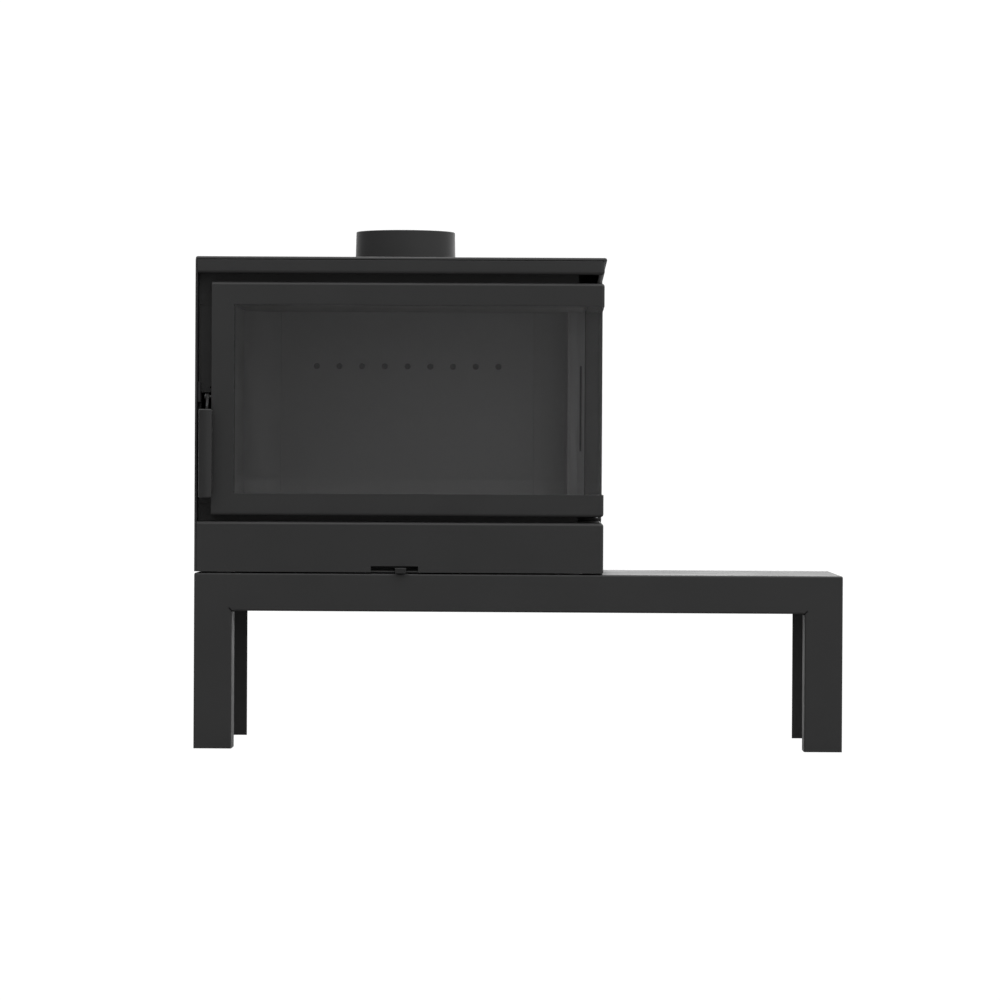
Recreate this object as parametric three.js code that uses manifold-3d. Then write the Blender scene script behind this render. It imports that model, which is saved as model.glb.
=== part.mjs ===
// Wood burning corner stove on a low bench of folded steel sheet.
// Millimetres, +Z up, X from left to right, Y from the front to the rear.
// The origin of the finished group is the middle of its footprint, on the floor.

import * as THREE from 'three';
import { mergeVertices } from 'three/addons/utils/BufferGeometryUtils.js';
import Module from 'manifold-3d';

// ---------------------------------------------------------------- driving dimensions

// sheet and clearances
const sheet = 3;                 // folded steel sheet
const touch = 0.3;               // gap kept between pieces that touch
const through = 1;               // how far a cutter runs past the wall that it cuts

// bench
const benchWidth = 1265;
const depth = 440;               // bench and stove are equally deep
const benchHeight = 343;
const apronHeight = 74;
const legWidth = 74;
const legReturn = 69;            // depth of a leg's folded sides behind its face
const apronReturn = 22;          // width of the fold under an apron
const reliefLength = 17;         // corner relief slot at the root of two folds
const reliefWidth = 3;
const stiffenerWidth = 60;
const stiffenerHeight = 30;

// stove casing
const stoveWidth = 798;
const seatGap = 2.5;             // dark seam between stove and bench
const baseHeight = 98.3;
const doorGap = 11.5;            // base to door
const doorHeight = 455.6;
const headGap = 16.6;            // door to header
const headerHeight = 27;
const topSeam = 0.8;             // header to top plate
const topThick = 5.4;
const topOverhang = 4.5;         // top plate past the right side
const sideSheet = 4;
const sealSideGap = 0.6;         // left panel to the seal frame
const deckMargin = 62;           // solid margin of the base's deck
const headerReturn = 18;
const rearPanelWidth = 35;       // fixed strip of the right side, behind the door
const rearDoorGap = 8;           // door to that strip
const footRadius = 18;
const studHeight = 18;
const footInset = 58;
const studRadius = 5;

// flue collar
const collarRadius = 100.5;
const collarTopRadius = 98.5;
const collarWall = 3;
const collarHeight = 59.3;       // above the top plate
const collarFlange = 12;

// air control
const notchLeft = 345;
const notchWidth = 92;
const notchHeight = 12.1;
const leverLeft = 392.6;
const leverWidth = 21.4;
const leverReach = 14;           // past the stove's front
const leverLip = 9;
const leverTuck = 3;             // foot of the lever's front behind its head
const leverLevel = 4.5;
const valveMargin = 66;          // valve plate past the lever tab on each side
const valveDepth = 75;
const valveSetback = 27;         // valve plate behind the base's front sheet
const valveSlots = 4;
const valveSlotPitch = 34;
const valveSlotWidth = 12;
const valveSlotMargin = 12;
const leverBead = 1.5;           // rounded crest on the lever's front edge
const airBoxReach = 50;          // air box past the valve plate on the left
const airBoxMargin = 4;
const airBoxWall = 2;
const airBoxHeight = 14;
const slideClearance = 0.5;      // valve plate to the air box

// door
const doorLeft = 31.8;
const doorDepth = 33;
const topRailHeight = 44.3;
const bottomRailHeight = 43;
const stileWidth = 44.3;
const rearStileWidth = 44;
const glassInset = 0.7;          // behind the frame's sheet
const glassThick = 4;
const glassTuck = 12;            // how far the glass runs behind a rail
const stileTuck = 14;            // how far the glass runs behind a stile
const retainerThick = 2;
const retainerHeight = 15;
const sealGap = 3;
const sealWidth = 10;
const hingeInsetX = 12;          // hinge axis from the stove's right face
const hingeInsetY = 9;           // hinge axis from the door's rear edge
const pinRadius = 5;
const pinClearance = 0.6;
const pinFlange = 9;
const screwRadius = 4;
const screwHead = 2.5;
const screwInset = 17;           // screws from the rear stile's inner side
const screwAbove = 16.7;         // lower screw above the window's lower edge
const screwBelow = 12.6;         // upper screw below the window's upper edge
const glassLip = 0.8;            // glass to the frame's inner walls
const sealInset = 8;             // rope seal from the door's edges
const pinFlangeThick = 3;
const pinRise = 9.5;             // upper pin past the door's top
const pinRoot = 1;               // pin past its flange
const bracketReach = 14;         // hinge bracket in front of the hinge axis
const bracketThick = 5;
const bracketGap = 0.7;          // lower bracket to the base
const bracketRise = 3.6;         // upper bracket above the door
const bracketClearance = 2;      // brackets to the rear strip

// firebox
const voidInset = 50;            // body inside the right outer face, above and below the door
const linerSetback = 3;          // left liner past the stile's inner edge
const linerThick = 5;
const rearSpace = 70;            // back liner to the rear face of the stove
const leftCornerRadius = 72;
const rightCornerRadius = 68;
const rightLinerInset = 71;      // right liner's face from the right outer face
const jambLead = 6;              // straight part of the right liner in front of its curve
const jambFlatWidth = 14;
const plateThick = 4;            // welded firebox plate
const airGap = 4;                // between the back liner and the rear wall
const airHoleRadius = 6.3;
const airHolePitch = 46.2;
const airHoleCount = 9;
const airHoleDrop = 110.6;       // holes below the firebox ceiling
const hearthThick = 22;
const hearthDrop = 20;           // hearth below the bottom rail's upper edge
const baffleThick = 22;
const baffleFrontGap = 36;       // flue gas passes in front of the baffle
const grateWidth = 204;
const grateDepth = 174;
const grateThick = 12;
const grateBars = 9;
const grateSlot = 9;
const ashPanWidth = 180;
const ashPanDepth = 150;
const ashPanHeight = 58;
const ashClearance = 4;
const latchSlotHeight = 55;
const latchSlotInset = 6;        // latch slot from the left panel
const latchSlotRise = 2.5;       // latch slot past the spindle's hub
const fixingHoleRadius = 2.5;
const fixingHoleRise = 10;       // fixing hole above the latch slot
const fixingHoleInset = 2.8;
const clipSlotHeight = 173;
const clipSlotWidth = 4;
const roofClearance = 1.6;       // door's top edge to the firebox roof
const sealDrop = 1.8;            // seal frame's lower strip below the hearth
const ledgeDrop = 3;             // seal ledges below and above the door's edges
const ashBoxWall = 2;
const ashPanWall = 1.5;
const collarClearance = 1.5;

// handle
const gripLeft = 9.5;
const gripWidth = 26.6;
const gripHeight = 173;
const gripThick = 12;
const gripProud = 30;            // front of the grip past the stove's front
const gripRise = 45.4;           // bottom of the grip above the base's top
const spindleRadius = 3.5;
const spindleY = 12;
const spindleAboveGrip = 24;
const hubRadius = 6.5;
const armLeft = 22.6;
const armWidth = 4.2;
const armLength = 46;            // arm's foot below the grip's top
const armRoot = 5;               // arm's bend below the grip's top
const armThick = 8;
const armHead = 4.6;             // half the arm's head around the spindle
const armCrown = 6;              // arm above the grip's top
const hookLeft = 18.7;
const hookWidth = 3.6;
const hookThick = 5;             // half the hook's height at its root
const hookReach = 34;            // hook's nose behind the spindle
const hookTip = 6;
const hookDrop = 13;             // hook's tip below the spindle
const hookRoot = 3;
const hookRise = 2;
const spindleReach = 28;         // spindle past the door's left edge
const hubSides = 24;
const catchLeft = 4.6;
const catchWidth = 5;
const catchHeight = 39.5;
const catchDrop = 10;            // catch plate's foot below the spindle

// ---------------------------------------------------------------- derived places

// heights above the stove's underside
const baseTop = baseHeight;
const doorBottom = baseTop + doorGap;
const doorTop = doorBottom + doorHeight;
const headerBottom = doorTop + headGap;
const headerTop = headerBottom + headerHeight;
const topUnder = headerTop + topSeam;
const topFace = topUnder + topThick;
const ceiling = doorTop - topRailHeight;
const hearthTop = doorBottom + bottomRailHeight - hearthDrop;
const hearthUnder = hearthTop - hearthThick;
const floorTop = hearthUnder - touch;
const roofUnder = doorTop + plateThick + roofClearance;
const spindleZ = baseTop + gripRise + gripHeight + spindleAboveGrip;

// places across and along the stove
const bandLeft = sideSheet + touch;
const sealLeft = sideSheet + sealSideGap;
const casingRear = depth - sheet;
const voidX = stoveWidth - voidInset;
const doorInnerX = stoveWidth - doorDepth;
const sealX = doorInnerX - sealGap;
const sealY = doorDepth + sealGap;
const fireFront = sealY + sheet;
const backFace = depth - rearSpace;
const linerLeftX = doorLeft + stileWidth - linerSetback;
const linerRightX = stoveWidth - rightLinerInset;
const backLeft = linerLeftX + leftCornerRadius;
const backRight = linerRightX - rightCornerRadius;
const jambStart = backFace - rightCornerRadius - jambLead;
const rearPanelStart = depth - sheet - rearPanelWidth;
const doorRear = rearPanelStart - rearDoorGap;
const jambStep = doorRear - rearStileWidth - sheet;
const jambEnd = doorRear + sheet;
const wallLeftX = linerLeftX - linerThick - touch - plateThick;
const wallRearY = backFace + linerThick + airGap;
const hingeX = stoveWidth - hingeInsetX;
const hingeY = doorRear - hingeInsetY;
const flueX = (backLeft + backRight) / 2;
const flueY = depth / 2;
const grateX = flueX;
const grateY = (fireFront + backFace) / 2;

// ---------------------------------------------------------------- finishes

const steelPaint = new THREE.MeshStandardMaterial({ color: 0x2e2e2f, roughness: 0.55, metalness: 0.1 });
const firePaint = new THREE.MeshStandardMaterial({ color: 0x272727, roughness: 0.75, metalness: 0.1 });
const stoveGlass = new THREE.MeshStandardMaterial({
  color: 0x2a2c2d, roughness: 0.08, metalness: 0, transparent: true, opacity: 0.25,
});
const firebrick = new THREE.MeshStandardMaterial({ color: 0x3a3938, roughness: 0.9, metalness: 0 });
const castIron = new THREE.MeshStandardMaterial({ color: 0x303030, roughness: 0.7, metalness: 0.3 });
const ropeSeal = new THREE.MeshStandardMaterial({ color: 0x1d1d1d, roughness: 1, metalness: 0 });
const bareSteel = new THREE.MeshStandardMaterial({ color: 0x8a8b8c, roughness: 0.4, metalness: 1 });
const handlePaint = new THREE.MeshStandardMaterial({ color: 0x343435, roughness: 0.45, metalness: 0.2 });

// ---------------------------------------------------------------- shape helpers

const wasm = await Module();
wasm.setup();

function toSolid(geometry) {
  const bare = geometry.clone();
  bare.deleteAttribute('normal');
  bare.deleteAttribute('uv');
  const merged = mergeVertices(bare);
  return new wasm.Manifold(new wasm.Mesh({
    numProp: 3,
    vertProperties: new Float32Array(merged.attributes.position.array),
    triVerts: new Uint32Array(merged.index.array),
  }));
}

function toGeometry(solid) {
  const mesh = solid.getMesh();
  const geometry = new THREE.BufferGeometry();
  geometry.setAttribute('position', new THREE.BufferAttribute(mesh.vertProperties, 3));
  geometry.setIndex(new THREE.BufferAttribute(mesh.triVerts, 1));
  geometry.computeVertexNormals();
  return geometry;
}

function cut(body, ...cutters) {
  const start = toSolid(body);
  return toGeometry(cutters.reduce((solid, cutter) => solid.subtract(toSolid(cutter)), start));
}

function join(first, ...others) {
  const start = toSolid(first);
  return toGeometry(others.reduce((solid, other) => solid.add(toSolid(other)), start));
}

// A box between two values on each axis, in either order.
function slab(x0, x1, y0, y1, z0, z1) {
  const box = new THREE.BoxGeometry(Math.abs(x1 - x0), Math.abs(y1 - y0), Math.abs(z1 - z0));
  return box.translate((x0 + x1) / 2, (y0 + y1) / 2, (z0 + z1) / 2);
}

// A plan outline raised from z0 to z1.
function prism(shape, z0, z1) {
  const settings = { depth: z1 - z0, bevelEnabled: false, curveSegments: 10 };
  return new THREE.ExtrudeGeometry(shape, settings).translate(0, 0, z0);
}

// An outline in Y and Z, run from x0 to x1.
function profile(shape, x0, x1) {
  const settings = { depth: x1 - x0, bevelEnabled: false, curveSegments: 8 };
  const turn = new THREE.Matrix4().makeBasis(
    new THREE.Vector3(0, 1, 0), new THREE.Vector3(0, 0, 1), new THREE.Vector3(1, 0, 0));
  return new THREE.ExtrudeGeometry(shape, settings).applyMatrix4(turn).translate(x0, 0, 0);
}

function outline(...points) {
  return new THREE.Shape(points.map(([x, y]) => new THREE.Vector2(x, y)));
}

// Round bars along each axis, from one end to the other.
function barZ(radius, x, y, z0, z1, sides = 24) {
  const bar = new THREE.CylinderGeometry(radius, radius, z1 - z0, sides);
  return bar.rotateX(Math.PI / 2).translate(x, y, (z0 + z1) / 2);
}

function barY(radius, x, z, y0, y1, sides = 16) {
  return new THREE.CylinderGeometry(radius, radius, y1 - y0, sides).translate(x, (y0 + y1) / 2, z);
}

function barX(radius, y, z, x0, x1, sides = 16) {
  const bar = new THREE.CylinderGeometry(radius, radius, x1 - x0, sides);
  return bar.rotateZ(Math.PI / 2).translate((x0 + x1) / 2, y, z);
}

function add(parent, name, geometry, material) {
  const mesh = new THREE.Mesh(geometry, material);
  mesh.name = name;
  parent.add(mesh);
}

// ---------------------------------------------------------------- bench

// One long side of the bench: apron and two leg faces in one sheet, with the legs' side
// outer folds and the fold under the apron. `face` is the outer plane, `inward` its
// direction. Only the front legs are folded on their inner sides too.
function benchFrame(face, inward, innerFolds) {
  const at = distance => face + inward * distance;
  const under = benchHeight - apronHeight;
  const top = benchHeight - sheet - touch;
  const right = benchWidth - legWidth;
  const legFold = x => slab(x, x + sheet, at(0), at(sheet + legReturn), 0, under + sheet);
  const relief = (x, lean) => {
    const slot = new THREE.BoxGeometry(reliefLength, sheet + 2 * through, reliefWidth);
    return slot.rotateY(lean * Math.PI / 4).translate(x, at(sheet / 2), under);
  };
  const sheetBody = join(
    slab(0, benchWidth, at(0), at(sheet), 0, top),
    slab(0, sheet, at(0), at(sheet + legReturn), 0, top),
    slab(benchWidth - sheet, benchWidth, at(0), at(sheet + legReturn), 0, top),
    slab(legWidth, right, at(0), at(sheet + apronReturn), under, under + sheet),
    ...(innerFolds ? [legFold(legWidth - sheet), legFold(right)] : []),
  );
  return cut(
    sheetBody,
    slab(legWidth, right, at(-through), at(sheet + through), -through, under),
    relief(legWidth, 1),
    relief(right, -1),
  );
}

// A short side's apron, with its lower fold turned towards the middle of the bench.
function endApron(face, inward) {
  const under = benchHeight - apronHeight;
  const start = sheet + legReturn + touch;
  return join(
    slab(face, face + inward * sheet, start, depth - start, under, benchHeight - sheet - touch),
    slab(face, face + inward * (sheet + apronReturn), start, depth - start, under, under + sheet),
  );
}

function makeBench() {
  const bench = new THREE.Group();
  const top = benchHeight - sheet;
  add(bench, 'bench_top', slab(0, benchWidth, 0, depth, top, benchHeight), steelPaint);
  add(bench, 'bench_front_frame', benchFrame(0, 1, true), steelPaint);
  add(bench, 'bench_rear_frame', benchFrame(depth, -1, false), steelPaint);
  add(bench, 'bench_left_apron', endApron(0, 1), steelPaint);
  add(bench, 'bench_right_apron', endApron(benchWidth, -1), steelPaint);

  // folded channel across the bench, open towards the top sheet
  const x0 = (benchWidth - stiffenerWidth) / 2;
  const x1 = x0 + stiffenerWidth;
  const inside = sheet + touch;
  const z0 = top - touch - stiffenerHeight;
  add(bench, 'bench_stiffener', cut(
    slab(x0, x1, inside, depth - inside, z0, top - touch),
    slab(x0 + sheet, x1 - sheet, inside - through, depth - inside + through, z0 + sheet, top),
  ), steelPaint);
  return bench;
}

// ---------------------------------------------------------------- casing

function makeCasing() {
  const casing = new THREE.Group();
  const rear = casingRear - touch;

  // plinth band: front, right side and a deck with a large opening
  const notch = slab(notchLeft, notchLeft + notchWidth, -through, sheet + through, -through, notchHeight);
  add(casing, 'base_panel', cut(
    slab(bandLeft, stoveWidth, 0, rear, 0, baseTop),
    slab(bandLeft - through, stoveWidth - sheet, sheet, rear + through, -through, baseTop - sheet),
    slab(deckMargin * 2, stoveWidth - deckMargin * 2, deckMargin, rear - deckMargin,
      baseTop - sheet - through, baseTop + through),
    notch,
  ), steelPaint);

  // floor of the plinth, on four levelling feet
  const corners = [
    ['front_left', footInset, footInset],
    ['front_right', stoveWidth - footInset, footInset],
    ['rear_left', footInset, depth - footInset],
    ['rear_right', stoveWidth - footInset, depth - footInset],
  ];
  const gapped = sheet + touch;
  add(casing, 'base_floor', cut(
    slab(bandLeft, stoveWidth - gapped, gapped, rear - touch, touch, touch + sheet),
    ...corners.map(([, x, y]) => barZ(studRadius + pinClearance, x, y, -through, sheet + 2 * through)),
  ), steelPaint);
  for (const [corner, x, y] of corners) {
    const pad = new THREE.LatheGeometry([
      new THREE.Vector2(0, touch - seatGap),
      new THREE.Vector2(footRadius, touch - seatGap),
      new THREE.Vector2(footRadius, 0),
      new THREE.Vector2(studRadius, 0),
      new THREE.Vector2(studRadius, studHeight),
      new THREE.Vector2(0, studHeight),
    ], 16).rotateX(Math.PI / 2).translate(x, y, 0);
    add(casing, `levelling_foot_${corner}`, pad, bareSteel);
  }

  // sides and rear: the left panel runs the full height, past the ends of both bands
  const sideLow = baseTop + touch;
  const sideHigh = headerBottom - touch;
  add(casing, 'left_side_panel', slab(0, sideSheet, 0, rear, 0, topUnder - touch), steelPaint);
  add(casing, 'rear_panel', slab(0, stoveWidth, casingRear, depth, 0, topUnder - touch), steelPaint);
  add(casing, 'right_rear_panel', join(
    slab(stoveWidth - sheet, stoveWidth, rearPanelStart, rear, sideLow, sideHigh),
    slab(voidX, stoveWidth, rearPanelStart, rearPanelStart + sheet, sideLow, sideHigh),
  ), steelPaint);

  // header band and top plate
  add(casing, 'header_band', cut(
    slab(bandLeft, stoveWidth, 0, rear, headerBottom, headerTop),
    slab(bandLeft - through, stoveWidth - sheet, sheet, rear + through,
      headerBottom - through, headerTop - sheet),
    slab(bandLeft + headerReturn, stoveWidth - sheet - headerReturn, sheet + headerReturn, rear + through,
      headerBottom - through, headerTop + through),
  ), steelPaint);
  add(casing, 'top_plate', cut(
    slab(0, stoveWidth + topOverhang, 0, depth, topUnder, topFace),
    barZ(collarRadius + collarClearance, flueX, flueY, topUnder - through, topFace + through, 48),
  ), steelPaint);

  // flue collar: flanged at the firebox roof and slightly tapered above it
  const collarFoot = roofUnder + plateThick + touch;
  const collarTop = topFace + collarHeight;
  const collar = new THREE.LatheGeometry([
    new THREE.Vector2(collarRadius - collarWall, collarFoot),
    new THREE.Vector2(collarRadius + collarFlange, collarFoot),
    new THREE.Vector2(collarRadius + collarFlange, collarFoot + plateThick),
    new THREE.Vector2(collarRadius, collarFoot + plateThick),
    new THREE.Vector2(collarTopRadius, collarTop),
    new THREE.Vector2(collarTopRadius - collarWall, collarTop),
    new THREE.Vector2(collarRadius - collarWall, collarFoot),
  ], 48).rotateX(Math.PI / 2).translate(flueX, flueY, 0);
  add(casing, 'flue_collar', collar, steelPaint);
  return casing;
}

// ---------------------------------------------------------------- firebox

// The frame that the door's seal closes on, above or below the window. It is flat at the
// front and a Z-section along the right side. `away` points from the window to the casing.
function sealFrame(windowEdge, casingEdge, ledge, away) {
  const step = ledge + away * sheet;
  return join(
    slab(sealLeft, voidX, sealY, fireFront, windowEdge, casingEdge),
    slab(voidX - sheet, sealX, sealY, fireFront, windowEdge, step),
    slab(sealX - sheet, sealX, sealY, jambEnd, windowEdge, step),
    slab(voidX - sheet, sealX, sealY, jambEnd, ledge, step),
    slab(voidX - sheet, voidX, sealY, jambEnd, ledge, casingEdge),
  );
}

function makeLiners(firebox) {
  const low = floorTop + touch;
  const high = ceiling - touch;
  const leftCentre = backFace - leftCornerRadius;
  const rightCentre = backFace - rightCornerRadius;

  const left = new THREE.Shape();
  left.moveTo(linerLeftX - linerThick, fireFront + touch);
  left.lineTo(linerLeftX, fireFront + touch);
  left.lineTo(linerLeftX, leftCentre);
  left.absarc(backLeft, leftCentre, leftCornerRadius, Math.PI, Math.PI / 2, true);
  left.lineTo(backLeft, backFace + linerThick);
  left.absarc(backLeft, leftCentre, leftCornerRadius + linerThick, Math.PI / 2, Math.PI, false);
  add(firebox, 'left_liner', prism(left, low, high), firebrick);

  const right = new THREE.Shape();
  right.moveTo(linerRightX + linerThick, jambStart);
  right.lineTo(linerRightX + linerThick, rightCentre);
  right.absarc(backRight, rightCentre, rightCornerRadius + linerThick, 0, Math.PI / 2, false);
  right.lineTo(backRight, backFace);
  right.absarc(backRight, rightCentre, rightCornerRadius, Math.PI / 2, 0, true);
  right.lineTo(linerRightX, jambStart);
  add(firebox, 'right_liner', prism(right, low, high), firebrick);

  const firstHole = flueX - airHolePitch * (airHoleCount - 1) / 2;
  const holes = Array.from({ length: airHoleCount }, (_, index) => barY(
    airHoleRadius, firstHole + index * airHolePitch, ceiling - airHoleDrop,
    backFace - through, backFace + linerThick + through));
  add(firebox, 'back_liner', cut(
    slab(backLeft + touch, backRight - touch, backFace, backFace + linerThick, low, high),
    ...holes,
  ), firebrick);
}

function makeHearth(firebox) {
  const gap = touch;
  const leftCentre = backFace - leftCornerRadius;
  const rightCentre = backFace - rightCornerRadius;
  const plan = new THREE.Shape();
  plan.moveTo(linerLeftX + gap, fireFront + gap);
  plan.lineTo(sealX - sheet - gap, fireFront + gap);
  plan.lineTo(sealX - sheet - gap, jambStart - gap);
  plan.lineTo(linerRightX - gap, jambStart - gap);
  plan.lineTo(linerRightX - gap, rightCentre);
  plan.absarc(backRight, rightCentre, rightCornerRadius - gap, 0, Math.PI / 2, false);
  plan.lineTo(backLeft, backFace - gap);
  plan.absarc(backLeft, leftCentre, leftCornerRadius - gap, Math.PI / 2, Math.PI, false);

  const rimWidth = grateWidth + 2 * touch;
  const rimDepth = grateDepth + 2 * touch;
  const ledgeTop = doorBottom + ledgeDrop + sheet + touch;
  add(firebox, 'hearth_plate', cut(
    prism(plan, hearthUnder, hearthTop),
    slab(grateX - rimWidth / 2, grateX + rimWidth / 2, grateY - rimDepth / 2, grateY + rimDepth / 2,
      hearthTop - grateThick - touch, hearthTop + through),
    ashWell(hearthUnder - through, hearthTop + through),
    slab(voidX - sheet - touch, sealX, 0, depth, hearthUnder - through, ledgeTop),
  ), firebrick);
}

// The rectangular way through the hearth and the firebox floor, over the ash pan.
function ashWell(z0, z1) {
  const halfWidth = ashPanWidth / 2 + ashClearance;
  const halfDepth = ashPanDepth / 2 + ashClearance;
  return slab(grateX - halfWidth, grateX + halfWidth, grateY - halfDepth, grateY + halfDepth, z0, z1);
}

// An open tray of thin sheet.
function tray(width, length, height, wall, z0) {
  const x0 = grateX - width / 2;
  const y0 = grateY - length / 2;
  return cut(
    slab(x0, x0 + width, y0, y0 + length, z0, z0 + height),
    slab(x0 + wall, x0 + width - wall, y0 + wall, y0 + length - wall, z0 + wall, z0 + height + through),
  );
}

function makeAshParts(firebox) {
  const boxTop = floorTop - plateThick - touch;
  const boxWidth = ashPanWidth + 2 * (ashClearance + ashBoxWall);
  const boxLength = ashPanDepth + 2 * (ashClearance + ashBoxWall);
  const boxHeight = ashPanHeight + ashClearance + ashBoxWall;
  const boxFloor = boxTop - boxHeight;
  add(firebox, 'ash_box', tray(boxWidth, boxLength, boxHeight, ashBoxWall, boxFloor), firePaint);
  add(firebox, 'ash_pan',
    tray(ashPanWidth, ashPanDepth, ashPanHeight, ashPanWall, boxFloor + ashBoxWall + touch), firePaint);

  // slotted grate, resting in the hearth's rebate
  const pitch = ashPanWidth / grateBars;
  const slotReach = ashPanDepth / 2 - ashClearance;
  const slots = Array.from({ length: grateBars }, (_, index) => {
    const x = grateX + (index - (grateBars - 1) / 2) * pitch;
    return slab(x - grateSlot / 2, x + grateSlot / 2, grateY - slotReach, grateY + slotReach,
      hearthTop - grateThick - through, hearthTop + through);
  });
  add(firebox, 'grate', cut(
    slab(grateX - grateWidth / 2, grateX + grateWidth / 2, grateY - grateDepth / 2, grateY + grateDepth / 2,
      hearthTop - grateThick, hearthTop),
    ...slots,
  ), castIron);
}

function makeFirebox() {
  const firebox = new THREE.Group();
  const ledgeLow = doorBottom + ledgeDrop;
  const ledgeHigh = doorTop - ledgeDrop;
  const sealLow = hearthTop - sealDrop;
  const wallEnd = voidX - sheet - touch;

  add(firebox, 'seal_frame_bottom', sealFrame(sealLow, baseTop + touch, ledgeLow + sheet, -1), firePaint);
  add(firebox, 'seal_frame_top',
    sealFrame(ceiling, headerTop - sheet - touch, ledgeHigh - sheet, 1), firePaint);

  // left strip of the seal frame, with the latch slot and a small fixing hole
  const slotTop = spindleZ + hubRadius + latchSlotRise;
  add(firebox, 'seal_frame_left', cut(
    slab(sealLeft, wallLeftX + plateThick, sealY, fireFront, sealLow + touch, ceiling - touch),
    slab(sideSheet + latchSlotInset, doorLeft, sealY - through, fireFront + through,
      slotTop - latchSlotHeight, slotTop),
    barY(fixingHoleRadius, doorLeft - fixingHoleInset, slotTop + fixingHoleRise,
      sealY - through, fireFront + through, 12),
  ), firePaint);

  // folded jamb between the right liner and the door's rear stile
  const flat = linerRightX + linerThick + touch;
  const fold = flat + jambFlatWidth;
  const jamb = outline(
    [flat, jambStart], [fold, jambStart], [fold, jambStep], [sealX, jambStep], [sealX, jambEnd],
    [sealX - sheet, jambEnd], [sealX - sheet, jambStep + sheet], [fold - sheet, jambStep + sheet],
    [fold - sheet, jambStart + sheet], [flat, jambStart + sheet]);
  const clipLow = (sealLow + ceiling - clipSlotHeight) / 2;
  const clipX = (fold + sealX) / 2;
  add(firebox, 'rear_jamb', cut(
    prism(jamb, sealLow + touch, ceiling - touch),
    slab(clipX - clipSlotWidth / 2, clipX + clipSlotWidth / 2, jambStep - through, jambStep + sheet + through,
      clipLow, clipLow + clipSlotHeight),
  ), firePaint);

  // welded body
  const bodyRear = wallRearY + plateThick;
  add(firebox, 'firebox_floor', cut(
    slab(wallLeftX, wallEnd, fireFront + touch, bodyRear, floorTop - plateThick, floorTop),
    ashWell(floorTop - plateThick - through, floorTop + through),
  ), firePaint);
  add(firebox, 'firebox_roof', cut(
    slab(wallLeftX, wallEnd, fireFront + touch, bodyRear, roofUnder, roofUnder + plateThick),
    barZ(collarRadius - collarWall, flueX, flueY, roofUnder - through, roofUnder + plateThick + through, 48),
  ), firePaint);
  const wallLow = floorTop + touch;
  const wallHigh = roofUnder - touch;
  add(firebox, 'firebox_left_wall', slab(wallLeftX, wallLeftX + plateThick, fireFront + touch,
    wallRearY - touch, wallLow, wallHigh), firePaint);
  add(firebox, 'firebox_rear_wall',
    slab(wallLeftX, wallEnd, wallRearY, bodyRear, wallLow, wallHigh), firePaint);

  makeLiners(firebox);
  makeHearth(firebox);
  makeAshParts(firebox);

  // baffle, resting on the liners' upper edges
  add(firebox, 'baffle', slab(linerLeftX - sheet, sealX - sheet - touch, fireFront + baffleFrontGap,
    backFace + linerThick, ceiling, ceiling + baffleThick), firebrick);

  // catch plate beside the latch slot
  const catchLow = spindleZ - catchDrop;
  add(firebox, 'catch_plate', slab(catchLeft, catchLeft + catchWidth, spindleY, sealY - touch,
    catchLow, catchLow + catchHeight), steelPaint);

  // hinge brackets above and below the door
  const bracket = z0 => cut(
    slab(voidX + touch, stoveWidth - sheet, hingeY - bracketReach, rearPanelStart - bracketClearance,
      z0, z0 + bracketThick),
    barZ(pinRadius + pinClearance, hingeX, hingeY, z0 - through, z0 + bracketThick + through),
  );
  add(firebox, 'hinge_bracket_lower', bracket(baseTop + bracketGap), steelPaint);
  add(firebox, 'hinge_bracket_upper', bracket(doorTop + bracketRise), steelPaint);
  return firebox;
}

// ---------------------------------------------------------------- air control

function makeAirControl() {
  const control = new THREE.Group();
  const leverRight = leverLeft + leverWidth;
  const plateTop = leverLevel + sheet;
  const valveLeft = leverLeft - valveMargin;
  const valveRight = leverRight + valveMargin;
  const valveFront = sheet + valveSetback;
  const slots = Array.from({ length: valveSlots }, (_, index) => {
    const x = (valveLeft + valveRight) / 2 + (index - (valveSlots - 1) / 2) * valveSlotPitch;
    return slab(x - valveSlotWidth / 2, x + valveSlotWidth / 2, valveFront + valveSlotMargin,
      valveFront + valveDepth - valveSlotMargin, leverLevel - through, plateTop + through);
  });
  const lip = profile(outline(
    [-leverReach, plateTop + leverBead / 3], [-leverReach + sheet / 3, plateTop + leverBead],
    [-leverReach + sheet, plateTop],
    [-leverReach + sheet + leverTuck, plateTop - leverLip],
    [-leverReach + leverTuck, plateTop - leverLip],
  ), leverLeft, leverRight);
  add(control, 'air_slide', cut(join(
    slab(valveLeft, valveRight, valveFront, valveFront + valveDepth, leverLevel, plateTop),
    slab(leverLeft, leverRight, -leverReach + 1, valveFront + through, leverLevel, plateTop),
    lip,
  ), ...slots), steelPaint);

  // inverted tray over the valve plate
  const wall = airBoxWall;
  const x0 = valveLeft - airBoxReach;
  const x1 = valveRight + airBoxReach / 2;
  const y0 = valveFront - airBoxMargin;
  const y1 = valveFront + valveDepth + airBoxMargin;
  const z0 = plateTop + slideClearance;
  const z1 = z0 + airBoxHeight;
  add(control, 'air_box', cut(
    slab(x0, x1, y0, y1, z0, z1),
    slab(x0 + wall, x1 - wall, y0 + wall, y1 - wall, z0 - through, z1 - wall),
  ), firePaint);
  return control;
}

// ---------------------------------------------------------------- door

// Plan of an L-shaped strip around the front and the right side of the door, between two
// distances behind its outer faces.
function doorStrip(left, outer, inner, rear) {
  const width = stoveWidth - doorLeft;
  return outline(
    [left, outer], [width - outer, outer], [width - outer, rear],
    [width - inner, rear], [width - inner, inner], [left, inner]);
}

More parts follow.
